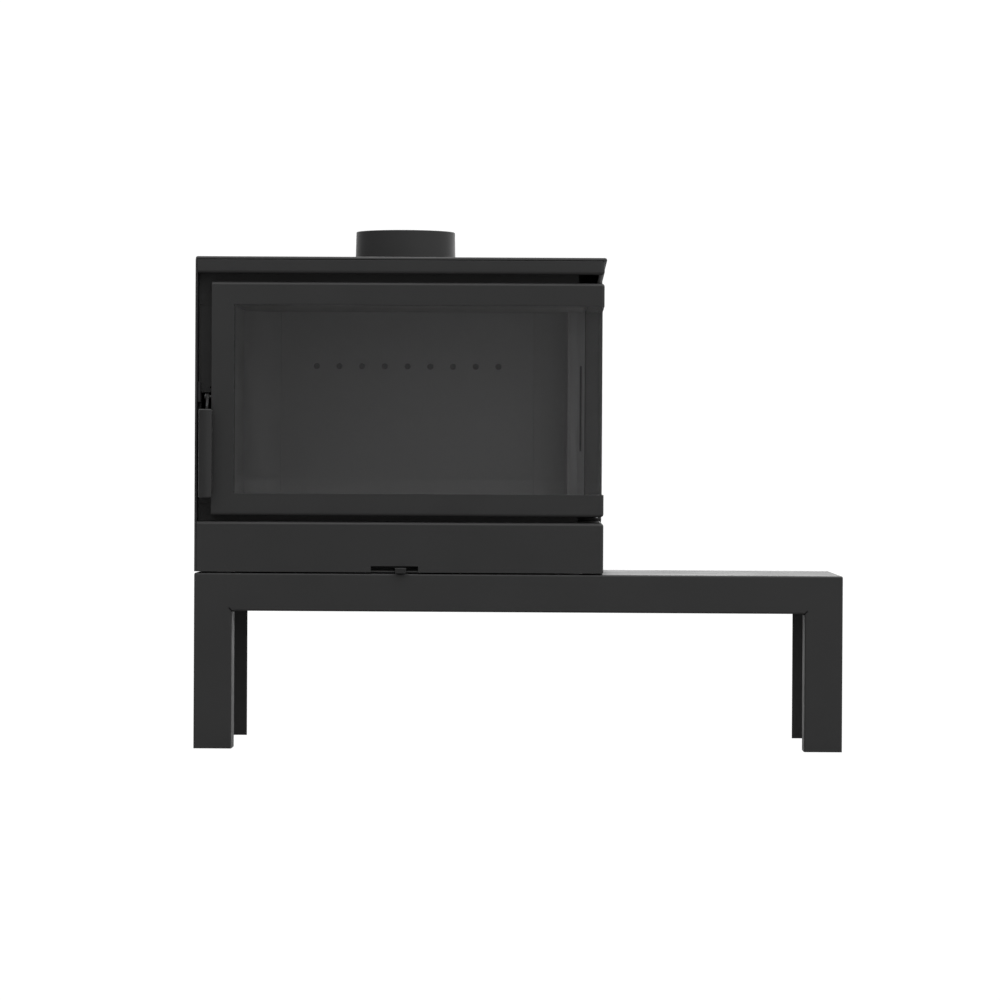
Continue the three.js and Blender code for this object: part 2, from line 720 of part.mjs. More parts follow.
function makeDoor() {
  const door = new THREE.Group();
  door.position.set(doorLeft, 0, doorBottom);
  const width = stoveWidth - doorLeft;
  const wall = sheet;
  const glassFront = wall + glassInset;
  const glassBack = glassFront + glassThick;
  const lip = glassBack + glassLip;           // front edge of the inner walls, behind the glass
  const windowLow = bottomRailHeight;
  const windowHigh = doorHeight - topRailHeight;
  const rearStileFront = doorRear - rearStileWidth;

  // hollow rails, with a slot that takes the edge of both panes
  const rail = (z0, z1, slotLow, slotHigh) => cut(
    prism(doorStrip(0, 0, doorDepth, doorRear), z0, z1),
    prism(doorStrip(wall, wall, doorDepth - wall, doorRear - wall), z0 + wall, z1 - wall),
    prism(doorStrip(stileWidth - stileTuck - touch, wall, lip, rearStileFront + stileTuck + touch),
      slotLow, slotHigh),
  );
  add(door, 'door_bottom_rail',
    rail(0, windowLow, windowLow - wall - through, windowLow + through), steelPaint);
  add(door, 'door_top_rail', rail(windowHigh, doorHeight, windowHigh - through, windowHigh + wall + through),
    steelPaint);

  // hollow stiles between the rails
  const stileLow = windowLow + touch;
  const stileHigh = windowHigh - touch;
  add(door, 'door_left_stile', cut(
    slab(0, stileWidth, 0, doorDepth, stileLow, stileHigh),
    slab(wall, stileWidth - wall, wall, doorDepth - wall, stileLow - through, stileHigh + through),
    slab(stileWidth - wall - through, stileWidth + through, wall, lip,
      stileLow - through, stileHigh + through),
    barX(spindleRadius + 1, spindleY, spindleZ - doorBottom, -through, wall + through),
  ), steelPaint);
  const inner = width - doorDepth;
  add(door, 'door_rear_stile', cut(
    slab(inner, width, rearStileFront, doorRear, stileLow, stileHigh),
    slab(inner + wall, width - wall, rearStileFront + wall, doorRear - wall,
      stileLow - through, stileHigh + through),
    slab(width - lip, width - wall, rearStileFront - through, rearStileFront + wall + through,
      stileLow - through, stileHigh + through),
  ), steelPaint);

  // two panes that meet in a plain corner
  const glassLow = windowLow - glassTuck;
  const glassHigh = windowHigh + glassTuck;
  add(door, 'front_glass', slab(stileWidth - stileTuck, width - glassFront, glassFront, glassBack,
    glassLow, glassHigh), stoveGlass);
  add(door, 'side_glass', slab(width - glassBack, width - glassFront, glassBack + touch,
    rearStileFront + stileTuck, glassLow, glassHigh), stoveGlass);

  // strips that hold the panes against the rails from inside
  const retainer = z0 => prism(
    doorStrip(stileWidth, glassBack + touch, glassBack + touch + retainerThick, rearStileFront - touch),
    z0, z0 + retainerHeight);
  add(door, 'glass_retainer_bottom', retainer(windowLow - wall - touch - retainerHeight), firePaint);
  add(door, 'glass_retainer_top', retainer(windowHigh + wall + touch), firePaint);

  // flat rope seal on the inner faces
  const sealFront = doorDepth + touch;
  const sealBack = doorDepth + sealGap - touch;
  const sealPlan = doorStrip(sealInset, sealFront, sealBack, doorRear - sealWidth);
  const sealRope = z0 => prism(sealPlan, z0, z0 + sealWidth);
  const sealLow = sealInset;
  const sealHigh = windowHigh + sealInset + through;
  add(door, 'door_seal_bottom', sealRope(sealLow), ropeSeal);
  add(door, 'door_seal_top', sealRope(sealHigh), ropeSeal);
  add(door, 'door_seal_left', slab(sealInset, sealInset + sealWidth, sealFront, sealBack,
    sealLow + sealWidth + touch, sealHigh - touch), ropeSeal);
  add(door, 'door_seal_rear', slab(width - sealBack, width - sealFront,
    doorRear - 3 * sealWidth, doorRear - 2 * sealWidth,
    sealLow + sealWidth + touch, sealHigh - touch), ropeSeal);

  // pan head screws on the rear stile's inner face
  const screw = z => barY(screwRadius, inner + screwInset, z, rearStileFront - touch - screwHead,
    rearStileFront - touch, 12);
  add(door, 'stile_screw_lower', screw(windowLow + screwAbove), firePaint);
  add(door, 'stile_screw_upper', screw(windowHigh - screwBelow), firePaint);

  // flanged hinge pins under and over the rear corner
  const pinX = hingeX - doorLeft;
  const pin = (flangeLow, flangeHigh, pinLow, pinHigh) => join(
    barZ(pinFlange, pinX, hingeY, flangeLow, flangeHigh),
    barZ(pinRadius, pinX, hingeY, pinLow, pinHigh),
  );
  add(door, 'hinge_pin_lower',
    pin(-touch - pinFlangeThick, -touch, -doorGap + pinRoot, -pinRoot), bareSteel);
  add(door, 'hinge_pin_upper', pin(doorHeight + touch, doorHeight + bracketRise - slideClearance - touch,
    doorHeight + pinRoot, doorHeight + pinRise), bareSteel);
  return door;
}

// ---------------------------------------------------------------- handle

function makeHandle() {
  const handle = new THREE.Group();
  handle.position.set(0, spindleY, spindleZ);
  const gripTop = -spindleAboveGrip;
  const gripBack = -gripProud - spindleY + gripThick;
  add(handle, 'handle_grip', slab(gripLeft, gripLeft + gripWidth, gripBack - gripThick, gripBack,
    gripTop - gripHeight, gripTop), handlePaint);

  const bore = barX(spindleRadius + touch, 0, 0, 0, stoveWidth);
  const foot = gripBack + touch;
  const arm = profile(outline(
    [foot, gripTop - armLength], [foot + armThick, gripTop - armLength],
    [foot + armThick, gripTop - armRoot], [armHead, -armHead], [-armHead, armHead],
    [foot, gripTop + armCrown],
  ), armLeft, armLeft + armWidth);
  const hub = (left, wide) => barX(hubRadius, 0, 0, left, left + wide, hubSides);
  add(handle, 'handle_arm',
    cut(join(arm, hub(armLeft, armWidth)), bore), handlePaint);

  const nose = profile(outline(
    [hookRoot, -hookThick], [hookReach - hookTip - hookRise, -hookThick],
    [hookReach - hookTip, -hookDrop], [hookReach, -hookDrop], [hookReach, hookRise],
    [hookRoot, hookThick],
  ), hookLeft, hookLeft + hookWidth);
  add(handle, 'latch_hook',
    cut(join(nose, hub(hookLeft, hookWidth)), bore), steelPaint);
  add(handle, 'handle_spindle',
    barX(spindleRadius, 0, 0, hookLeft - through, doorLeft + spindleReach), handlePaint);
  return handle;
}

// ---------------------------------------------------------------- assembly

const stove = new THREE.Group();
stove.position.z = benchHeight + seatGap;
stove.add(makeCasing(), makeFirebox(), makeAirControl(), makeDoor(), makeHandle());

const group = new THREE.Group();
group.name = 'wood_burning_stove';
const assembly = new THREE.Group();
assembly.position.set(-benchWidth / 2, -(depth - gripProud) / 2, 0);
assembly.add(makeBench(), stove);
group.add(assembly);

export default group;
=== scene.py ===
"""Wood burning stove with a corner window, standing on a long bench of folded steel sheet.

Every size is in metres. The stove's front faces -Y, and Z = 0 is the floor.
"""

import math

import bmesh
import bpy
from mathutils import Matrix, Vector


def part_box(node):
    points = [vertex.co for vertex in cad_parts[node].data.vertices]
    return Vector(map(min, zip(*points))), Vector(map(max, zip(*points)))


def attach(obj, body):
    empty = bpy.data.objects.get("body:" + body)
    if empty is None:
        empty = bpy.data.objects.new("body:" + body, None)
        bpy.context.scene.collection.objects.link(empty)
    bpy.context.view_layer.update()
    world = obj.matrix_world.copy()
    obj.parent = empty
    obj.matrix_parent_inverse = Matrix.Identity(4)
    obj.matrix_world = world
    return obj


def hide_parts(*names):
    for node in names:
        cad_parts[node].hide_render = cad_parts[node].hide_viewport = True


bl_info = {
    "name": "Corner Window Stove",
    "version": (1, 0, 0),
    "blender": (4, 5, 0),
    "location": "3D View > Sidebar > Stove",
    "description": "Builds a wood burning stove with a corner window on a folded steel bench",
    "category": "Add Mesh",
}

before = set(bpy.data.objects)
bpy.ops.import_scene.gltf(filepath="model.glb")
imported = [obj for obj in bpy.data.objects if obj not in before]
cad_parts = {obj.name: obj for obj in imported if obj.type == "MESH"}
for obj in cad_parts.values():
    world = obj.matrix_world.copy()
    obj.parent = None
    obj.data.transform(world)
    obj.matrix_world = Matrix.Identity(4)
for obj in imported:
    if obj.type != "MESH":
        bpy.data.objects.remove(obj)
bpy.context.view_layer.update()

X, Y, Z = range(3)
MM = 0.001
HAIR = 1e-6
WELD = HAIR * 10
FLAT_ANGLE = math.radians(0.5)      # faces that turn by less are one flat face

# roundings of the pieces that keep their CAD shape
RETAINER_EDGE = 0.3 * MM
THIN_EDGE = 0.4 * MM
PLATE_EDGE = 0.5 * MM
PANEL_EDGE = 0.6 * MM
ARM_EDGE = 0.7 * MM
CAST_EDGE = 1.2 * MM
BRICK_EDGE = 1.5 * MM
ROPE_EDGE = 3.0 * MM

# how every finished piece is rounded and shaded
BEVEL_SEGMENTS = 2
BEVEL_ANGLE = math.radians(35.0)
NORMAL_WEIGHT = 80

GRIP_STRIPS = 12                    # strips across the handle's crown
LINER_STEPS = 24                    # steps round a liner's quarter circle
ROUND_MIDDLE = 0.3                  # a rounding's middle point, as a share of its radius

MIX_FIRST, MIX_SECOND, MIX_RESULT = 6, 7, 2     # colour sockets of a mix node
WHITE = (1.0, 1.0, 1.0, 1.0)
WHITE_STRENGTH = 1.05               # a little over one, so that it shows as plain white
DUST = (0.30, 0.29, 0.28, 1.0)

SENSOR_WIDTH = 36.0
CLIP_END = 1000.0
SOFT_BOX_SIZE = (2.4, 1.6)
SOFT_BOX_PLACE = (-3.2, -3.4, 3.0)
SOFT_BOX_AIM = (-0.2, 0.0, 0.6)
# direction, where the light starts and where it is full, and the setting for its strength
ROOM_RAMPS = (("Y", 0.55, 1.00, "behind"), ("Z", 0.10, 0.90, "above"), ("X", -0.45, 0.60, "right"))


# ---------------------------------------------------------------- sizes, colours and stage

def length(name, description, default):
    """A size in metres."""
    return bpy.props.FloatProperty(
        name=name, description=description, default=default, min=0.0, precision=4,
        subtype="DISTANCE", unit="LENGTH")


def colour(name, description, *default):
    """A colour in linear light."""
    return bpy.props.FloatVectorProperty(
        name=name, description=description, default=default, size=3, min=0.0, max=1.0,
        subtype="COLOR")


def share(name, description, default, most=1.0):
    """A plain number from nought to `most`."""
    return bpy.props.FloatProperty(
        name=name, description=description, default=default, min=0.0, max=most,
        subtype="FACTOR" if most == 1.0 else "NONE")


class StoveSizes(bpy.types.PropertyGroup):
    """Folds, edges and cut-outs that the frame's boxes don't give."""

    sheet: length("Sheet", "Thickness of the folded steel sheet", 3.0 * MM)
    cut_edge: length("Cut edge", "Rounding left on a sheared edge", 0.4 * MM)
    bench_bend: length("Bench bend", "Outer radius of the bench's folds", 3.6 * MM)
    casing_bend: length("Casing bend", "Outer radius of the casing's folds", 6.5 * MM)
    door_bend: length("Door bend", "Outer radius of the door frame's folds", 6.2 * MM)
    plate_edge: length("Top plate edge", "Rounding along the top plate's upper edge", 4.4 * MM)
    leg_width: length("Leg width", "Width of a bench leg's face", 74.0 * MM)
    apron_return: length("Apron return", "Depth of the fold under the bench's apron", 25.0 * MM)
    relief_length: length("Relief length", "Length of the slot at the root of two folds", 17.0 * MM)
    relief_width: length("Relief width", "Width of the slot at the root of two folds", 3.0 * MM)
    deck_side: length("Deck side", "Solid strip at each side of the base's deck", 124.0 * MM)
    deck_end: length("Deck end", "Solid strip at the front and rear of the base's deck", 62.0 * MM)
    notch_start: length("Notch start", "Air notch from the stove's left side", 345.0 * MM)
    notch_width: length("Notch width", "Width of the air notch", 92.0 * MM)
    notch_height: length("Notch height", "Height of the air notch", 12.1 * MM)
    header_rim: length("Header rim", "Width of the header's upper rim", 21.0 * MM)
    header_corner: length("Header corner", "Outer radius of the header's right corner", 7.5 * MM)
    header_return: length("Header return", "Depth of the fold under the header", 11.0 * MM)
    flue_hole: length("Flue hole", "Radius of the hole in the top plate", 102.0 * MM)
    collar_foot: length("Collar foot", "Radius of the collar at the firebox", 100.5 * MM)
    collar_rim: length("Collar rim", "Radius of the collar at its rim", 98.5 * MM)
    collar_flange: length("Collar flange", "Thickness of the collar's flange", 4.0 * MM)
    door_depth: length("Door depth", "Depth of the door frame", 33.0 * MM)
    liner: length("Liner", "Thickness of the firebox liners", 5.0 * MM)
    liner_joint: length("Liner joint", "Rounding where two liners meet", 0.9 * MM)
    hole_radius: length("Air hole radius", "Radius of an air hole in the back liner", 6.3 * MM)
    hole_pitch: length("Air hole pitch", "Distance between two air holes", 46.2 * MM)
    hole_drop: length("Air hole drop", "Air holes below the firebox ceiling", 110.3 * MM)
    grip_corner: length("Grip corner", "Rounding of the handle's corners", 3.6 * MM)
    grip_edge: length("Grip edge", "Rounding around the handle's front", 2.6 * MM)
    grip_crown: length("Grip crown", "Rise of the handle's front along its middle", 3.6 * MM)
    holes: bpy.props.IntProperty(
        name="Air holes", description="Number of air holes in the back liner", default=9, min=1)


class StoveColours(bpy.types.PropertyGroup):
    """Finishes of the stove and the bench."""

    paint: colour("Stove paint", "Matt black paint of the casing, door and bench", 0.022, 0.022, 0.0222)
    fire_paint: colour("Firebox paint", "Paint behind the door", 0.042, 0.042, 0.042)
    liner: colour("Liner plates", "Dark plates that line the firebox", 0.150, 0.150, 0.1505)
    brick: colour("Firebrick", "Hearth and baffle", 0.11, 0.109, 0.106)
    iron: colour("Cast iron", "Grate", 0.035, 0.034, 0.033)
    steel: colour("Bare steel", "Hinge pins and levelling feet", 0.42, 0.42, 0.43)
    rope: colour("Rope seal", "Glass rope round the door", 0.010, 0.010, 0.010)
    glass: colour("Glass", "Ceramic glass of the window", 0.96, 0.96, 0.965)
    paint_roughness: share("Paint roughness", "Roughness of the matt paint", 0.5)
    handle_sheen: share("Handle sheen", "How much smoother the handle's paint is", 0.16)


class StoveStage(bpy.types.PropertyGroup):
    """Camera, floor and light."""

    eye: bpy.props.FloatVectorProperty(
        name="Camera place", description="Where the camera stands", size=3,
        default=(0.0694, -8.7064, 0.5491), subtype="TRANSLATION", unit="LENGTH")
    turn: bpy.props.FloatProperty(
        name="Turn", description="Camera turned to the left", default=0.01244,
        subtype="ANGLE", unit="ROTATION")
    dip: bpy.props.FloatProperty(
        name="Dip", description="Camera pointed downwards", default=0.00719,
        subtype="ANGLE", unit="ROTATION")
    lean: bpy.props.FloatProperty(
        name="Lean", description="Camera leaned about its own axis", default=0.00547,
        subtype="ANGLE", unit="ROTATION")
    lens: bpy.props.FloatProperty(
        name="Lens", description="Focal length on a 36 mm sensor", default=157.06,
        subtype="DISTANCE_CAMERA")
    floor: length("Floor", "Side of the square floor", 400.0)
    around: share("Room light", "Even light from all round", 0.12, 10.0)
    right: share("Light on the right", "More light from the front and right", 0.50, 10.0)
    ground: share("Floor glow", "Even light that the floor gives off", 0.12, 10.0)
    bounce: share("Floor shade", "Share of the light on it that the floor gives back", 0.16)
    behind: share("Light behind", "Light wall behind the stove", 1.75, 10.0)
    above: share("Light above", "Light from the ceiling", 1.45, 10.0)
    key: share("Soft box", "Power of the soft box at the upper left, in watts", 4.0, 5000.0)


# ---------------------------------------------------------------- mesh helpers

def low(node):
    """Lowest corner of a CAD node."""
    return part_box(node)[0]


def high(node):
    """Highest corner of a CAD node."""
    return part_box(node)[1]


def block(start, end):
    """A closed box between two corners."""
    bm = bmesh.new()
    bmesh.ops.create_cube(bm, size=1.0)
    start, end = Vector(start), Vector(end)
    bmesh.ops.scale(bm, vec=end - start, verts=bm.verts)
    bmesh.ops.translate(bm, vec=(start + end) / 2, verts=bm.verts)
    return bm


def slice_at(bm, axis, *places):
    """Cuts all faces along planes across one axis."""
    normal = Vector((0.0, 0.0, 0.0))
    normal[axis] = 1.0
    for place in places:
        geometry = bm.verts[:] + bm.edges[:] + bm.faces[:]
        bmesh.ops.bisect_plane(bm, geom=geometry, dist=HAIR, plane_co=normal * place, plane_no=normal)


def drop_faces(bm, test):
    """Deletes the faces whose middle passes a test."""
    gone = [face for face in bm.faces if test(face.calc_center_median())]
    bmesh.ops.delete(bm, geom=gone, context="FACES")


def open_edges(bm, test):
    """The free edges whose middle passes a test."""
    return [edge for edge in bm.edges
            if edge.is_boundary and test((edge.verts[0].co + edge.verts[1].co) / 2)]


def add_return(bm, edges, way):
    """Folds a strip back from some free edges."""
    made = bmesh.ops.extrude_edge_only(bm, edges=edges)["geom"]
    points = [item for item in made if isinstance(item, bmesh.types.BMVert)]
    bmesh.ops.translate(bm, vec=way, verts=points)


def round_edges(bm, radius, test=None, segments=5, least=30.0):
    """Rounds the edges at which two faces turn by more than `least` degrees."""
    chosen = [
        edge for edge in bm.edges
        if len(edge.link_faces) == 2 and edge.calc_face_angle(0.0) > math.radians(least)
        and (test is None or test((edge.verts[0].co + edge.verts[1].co) / 2,
                                  edge.verts[1].co - edge.verts[0].co))]
    bmesh.ops.bevel(bm, geom=chosen, offset=radius, segments=segments, profile=0.5,
                    affect="EDGES", material=-1, clamp_overlap=True)


def merged_copy(node):
    """A CAD node's shape with whole faces in place of loose triangles."""
    bm = bmesh.new()
    bm.from_mesh(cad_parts[node].data)
    bmesh.ops.remove_doubles(bm, verts=bm.verts, dist=WELD)
    bmesh.ops.dissolve_limit(
        bm, angle_limit=FLAT_ANGLE, verts=bm.verts, edges=bm.edges, delimit=set())
    return bm


def rod(start, end, radius, sides=32):
    """A closed round bar between two points."""
    start, end = Vector(start), Vector(end)
    way = end - start
    bm = bmesh.new()
    turn = Vector((0.0, 0.0, 1.0)).rotation_difference(way).to_matrix().to_4x4()
    bmesh.ops.create_cone(
        bm, cap_ends=True, cap_tris=False, segments=sides, radius1=radius, radius2=radius,
        depth=way.length, matrix=Matrix.Translation((start + end) / 2) @ turn)
    return bm


def turned(points, centre, steps=96):
    """A closed ring turned from an outline of (radius, height) points about an upright axis."""
    bm = bmesh.new()
    verts = [bm.verts.new((centre.x + radius, centre.y, height)) for radius, height in points]
    edges = [bm.edges.new((verts[i], verts[(i + 1) % len(verts)])) for i in range(len(verts))]
    bmesh.ops.spin(bm, geom=verts + edges, cent=centre, axis=(0.0, 0.0, 1.0), dvec=(0.0, 0.0, 0.0),
                   angle=math.tau, steps=steps, use_merge=True, use_duplicate=False)
    bmesh.ops.remove_doubles(bm, verts=bm.verts, dist=WELD)
    bmesh.ops.recalc_face_normals(bm, faces=bm.faces)
    return bm


def as_object(name, bm):
    """Puts a mesh under construction into the scene."""
    mesh = bpy.data.meshes.new(name)
    bm.to_mesh(mesh)
    bm.free()
    piece = bpy.data.objects.new(name, mesh)
    bpy.context.scene.collection.objects.link(piece)
    return piece


def removed(piece):
    """Takes a helper object and its mesh out of the scene."""
    mesh = piece.data
    bpy.data.objects.remove(piece)
    bpy.data.meshes.remove(mesh)


def settled(piece):
    """The mesh that a helper object's modifiers make. The object is removed."""
    depsgraph = bpy.context.evaluated_depsgraph_get()
    bm = bmesh.new()
    bm.from_object(piece, depsgraph)
    removed(piece)
    return bm


def thickened(bm, wall):
    """Gives an open skin its sheet thickness, inwards."""
    piece = as_object("skin", bm)
    modifier = piece.modifiers.new("Sheet", "SOLIDIFY")
    modifier.thickness = wall
    modifier.offset = -1.0
    modifier.use_even_offset = True
    modifier.use_quality_normals = True
    return settled(piece)


def carved(bm, *cutters):
    """Cuts closed shapes out of a closed shape."""
    piece = as_object("blank", bm)
    tools = [as_object("cutter", cutter) for cutter in cutters]
    for tool in tools:
        modifier = piece.modifiers.new("Cut", "BOOLEAN")
        modifier.operation = "DIFFERENCE"
        modifier.solver = "EXACT"
        modifier.object = tool
    result = settled(piece)
    for tool in tools:
        removed(tool)
    if not result.faces:
        raise RuntimeError("a cut left nothing of its piece")
    bmesh.ops.dissolve_limit(
        result, angle_limit=FLAT_ANGLE, verts=result.verts, edges=result.edges, delimit=set())
    return result


def finish_piece(name, bm, finish, body, slot, *nodes, edge=None):
    """Makes a finished piece that stands for some CAD nodes and rides on a body."""
    sizes = bpy.context.scene.stove_sizes
    piece = as_object(name, bm)
    piece.data.materials.append(bpy.data.materials[finish])
    piece.data.shade_smooth()
    width = sizes.cut_edge if edge is None else edge
    if width:
        bevel = piece.modifiers.new("Edges", "BEVEL")
        bevel.width = width
        bevel.segments = BEVEL_SEGMENTS
        bevel.limit_method = "ANGLE"
        bevel.angle_limit = BEVEL_ANGLE
        bevel.use_clamp_overlap = True
    weigh = piece.modifiers.new("Normals", "WEIGHTED_NORMAL")
    weigh.mode = "FACE_AREA"
    weigh.weight = NORMAL_WEIGHT
    weigh.keep_sharp = False
    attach(piece, body)
    if nodes:
        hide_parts(*nodes)
    return piece


def softened(node, finish, body, slot, edge):
    """A CAD node's own shape with rounded edges."""
    return finish_piece(f"{node}_shaped", merged_copy(node), finish, body, slot, node, edge=edge)


# ---------------------------------------------------------------- materials

def new_group(name, inputs, outputs):
    """An empty shader node group: inputs are (name, kind, default), outputs (name, kind)."""
    tree = bpy.data.node_groups.new(name, "ShaderNodeTree")
    for label, kind, default in inputs:
        socket = tree.interface.new_socket(label, in_out="INPUT", socket_type=kind)
        socket.default_value = default
    for label, kind in outputs:
        tree.interface.new_socket(label, in_out="OUTPUT", socket_type=kind)
    return tree, tree.nodes.new("NodeGroupInput"), tree.nodes.new("NodeGroupOutput")


def add_node(tree, kind, links=None, **settings):
    """Adds a node, sets its options, and joins or sets its inputs by name or place."""
    node = tree.nodes.new(kind)
    for name, value in settings.items():
        setattr(node, name, value)
    for name, value in (links or {}).items():
        socket = node.inputs[name]
        if isinstance(value, bpy.types.NodeSocket):
            tree.links.new(value, socket)
        else:
            socket.default_value = value
    return node


def maths(tree, operation, *values):
    """One sum on some values."""
    return add_node(tree, "ShaderNodeMath", dict(enumerate(values)), operation=operation).outputs[0]


def blend(tree, factor, first, second):
    """A colour between two colours."""
    return add_node(tree, "ShaderNodeMix", {
        "Factor": factor, MIX_FIRST: first, MIX_SECOND: second}, data_type="RGBA").outputs[MIX_RESULT]


def ramp(tree, value, start, end, to_start=0.0, to_end=1.0):
    """A smooth step from one value to another."""
    return add_node(
        tree, "ShaderNodeMapRange",
        {"Value": value, "From Min": start, "From Max": end, "To Min": to_start, "To Max": to_end},
        interpolation_type="SMOOTHSTEP").outputs["Result"]


def make_grain_group():
    """Paint grain: a fine height for bump, and broad faint clouds for colour and gloss."""
    tree, start, end = new_group(
        "Stove grain",
        [("Place", "NodeSocketVector", (0.0, 0.0, 0.0)), ("Grain Scale", "NodeSocketFloat", 900.0),
         ("Cloud Scale", "NodeSocketFloat", 7.0)],
        [("Height", "NodeSocketFloat"), ("Clouds", "NodeSocketFloat")])
    fine = add_node(tree, "ShaderNodeTexNoise", {
        "Vector": start.outputs["Place"], "Scale": start.outputs["Grain Scale"], "Detail": 3.0,
        "Roughness": 0.6})
    pits = add_node(tree, "ShaderNodeTexVoronoi", {
        "Vector": start.outputs["Place"], "Scale": start.outputs["Grain Scale"], "Randomness": 1.0})
    pit_share = 0.5
    height = maths(tree, "MULTIPLY_ADD", pits.outputs["Distance"], pit_share, fine.outputs["Fac"])
    clouds = add_node(tree, "ShaderNodeTexNoise", {
        "Vector": start.outputs["Place"], "Scale": start.outputs["Cloud Scale"], "Detail": 4.0,
        "Roughness": 0.55})
    tree.links.new(height, end.inputs["Height"])
    tree.links.new(clouds.outputs["Fac"], end.inputs["Clouds"])


def make_edge_and_dust_masks():
    """Masks for lighter edges and for dust lying on level faces. The edge mask marks paint rubbed thin, and
    on the handle also a painted highlight.
    """
    tree, start, end = new_group(
        "Stove edge and dust masks",
        [("Place", "NodeSocketVector", (0.0, 0.0, 0.0)), ("Edge Width", "NodeSocketFloat", 0.0012)],
        [("Edge", "NodeSocketFloat"), ("Dust", "NodeSocketFloat")])
    rounded = add_node(tree, "ShaderNodeBevel", {"Radius": start.outputs["Edge Width"]}, samples=4)
    geometry = add_node(tree, "ShaderNodeNewGeometry")
    agree = add_node(tree, "ShaderNodeVectorMath",
                     {0: rounded.outputs["Normal"], 1: geometry.outputs["Normal"]},
                     operation="DOT_PRODUCT").outputs["Value"]
    edge = ramp(tree, agree, start=0.995, end=0.80)
    patches = add_node(tree, "ShaderNodeTexNoise", {
        "Vector": start.outputs["Place"], "Scale": 38.0, "Detail": 3.0, "Roughness": 0.6})
    broken = ramp(tree, patches.outputs["Fac"], start=0.42, end=0.68)
    tree.links.new(maths(tree, "MULTIPLY", edge, broken), end.inputs["Edge"])
    upward = add_node(tree, "ShaderNodeSeparateXYZ", {0: geometry.outputs["Normal"]})
    level = ramp(tree, upward.outputs["Z"], start=0.75, end=1.0)
    drift = ramp(tree, patches.outputs["Fac"], start=0.30, end=0.75)
    tree.links.new(maths(tree, "MULTIPLY", level, drift), end.inputs["Dust"])


def tinted(shade, factor):
    """A colour made lighter or darker."""
    return tuple(min(1.0, part * factor) for part in shade) + (1.0,)


def painted(name, shade, roughness, grain=900.0, bump=0.05, clouds=0.12, metallic=0.0,
            edge_wear_and_highlight=2.2, dust=0.04, stretch=(1.0, 1.0, 1.0)):
    """A coated or cast surface: grain, faint clouds, lighter edges and a trace of dust. The lighter edges
    are paint rubbed thin; the handle's much lighter edges are also a painted highlight.
    """
    material = bpy.data.materials.new(name)
    material.use_nodes = True
    tree = material.node_tree
    shader = tree.nodes["Principled BSDF"]
    shader.inputs["Metallic"].default_value = metallic
    coordinates = add_node(tree, "ShaderNodeTexCoord").outputs["Object"]
    place = add_node(tree, "ShaderNodeMapping", {"Vector": coordinates, "Scale": stretch}).outputs[0]
    surface = add_node(tree, "ShaderNodeGroup", node_tree=bpy.data.node_groups["Stove grain"])
    tree.links.new(place, surface.inputs["Place"])
    surface.inputs["Grain Scale"].default_value = grain
    edge_and_dust = add_node(tree, "ShaderNodeGroup", node_tree=bpy.data.node_groups["Stove edge and dust masks"])
    tree.links.new(coordinates, edge_and_dust.inputs["Place"])

    cloudy = blend(tree, surface.outputs["Clouds"], tinted(shade, 1.0 - clouds),
                   tinted(shade, 1.0 + clouds))
    # lighter edges: paint rubbed thin, and with the handle's high setting a painted highlight along the
    # grip's rim
    edge_lightened = blend(tree, edge_and_dust.outputs["Edge"], cloudy, tinted(shade, edge_wear_and_highlight))
    dusty = blend(tree, maths(tree, "MULTIPLY", edge_and_dust.outputs["Dust"], dust), edge_lightened, DUST)
    tree.links.new(dusty, shader.inputs["Base Color"])

    spread = 0.05
    gloss = ramp(tree, surface.outputs["Clouds"], start=0.25, end=0.75,
                 to_start=roughness - spread, to_end=roughness + spread)
    tree.links.new(gloss, shader.inputs["Roughness"])
    relief = add_node(tree, "ShaderNodeBump", {
        "Strength": 1.0, "Distance": bump * MM, "Height": surface.outputs["Height"]})
    tree.links.new(relief.outputs["Normal"], shader.inputs["Normal"])
    return material


def make_glass(name, shade):
    """Clear ceramic glass with the faintest ripple and a little soot haze in its gloss."""
    material = bpy.data.materials.new(name)
    material.use_nodes = True
    tree = material.node_tree
    shader = tree.nodes["Principled BSDF"]
    shader.inputs["Transmission Weight"].default_value = 1.0
    shader.inputs["IOR"].default_value = 1.5
    coordinates = add_node(tree, "ShaderNodeTexCoord").outputs["Object"]
    haze = add_node(tree, "ShaderNodeTexNoise", {
        "Vector": coordinates, "Scale": 5.0, "Detail": 5.0, "Roughness": 0.6})
    hazy_shade, hazy_roughness = 0.97, 0.03
    tint = blend(tree, haze.outputs["Fac"], tinted(shade, hazy_shade), tinted(shade, 1.0))
    tree.links.new(tint, shader.inputs["Base Color"])
    gloss = ramp(tree, haze.outputs["Fac"], start=0.3, end=0.8, to_end=hazy_roughness)
    tree.links.new(gloss, shader.inputs["Roughness"])
    ripple = add_node(tree, "ShaderNodeTexNoise", {
        "Vector": coordinates, "Scale": 6.0, "Detail": 1.0})
    relief = add_node(tree, "ShaderNodeBump", {
        "Strength": 0.2, "Distance": 0.05 * MM, "Height": ripple.outputs["Fac"]})
    tree.links.new(relief.outputs["Normal"], shader.inputs["Normal"])


def make_rope(name, shade):
    """Braided glass rope: two crossed sets of strands."""
    material = painted(name, shade, roughness=0.9, grain=1500.0, bump=0.15, edge_wear_and_highlight=1.3, dust=0.02)
    tree = material.node_tree
    coordinates = add_node(tree, "ShaderNodeTexCoord").outputs["Object"]
    strands = []
    for lean in (45.0, -45.0):
        place = add_node(tree, "ShaderNodeMapping", {
            "Vector": coordinates, "Rotation": (math.radians(lean),) * 3})
        strands.append(add_node(tree, "ShaderNodeTexWave", {
            "Vector": place.outputs[0], "Scale": 130.0, "Distortion": 0.6}).outputs["Fac"])
    braid = maths(tree, "MAXIMUM", *strands)
    relief = add_node(tree, "ShaderNodeBump", {"Strength": 0.8, "Distance": 0.8 * MM, "Height": braid})
    shader = tree.nodes["Principled BSDF"]
    tree.links.new(relief.outputs["Normal"], shader.inputs["Normal"])


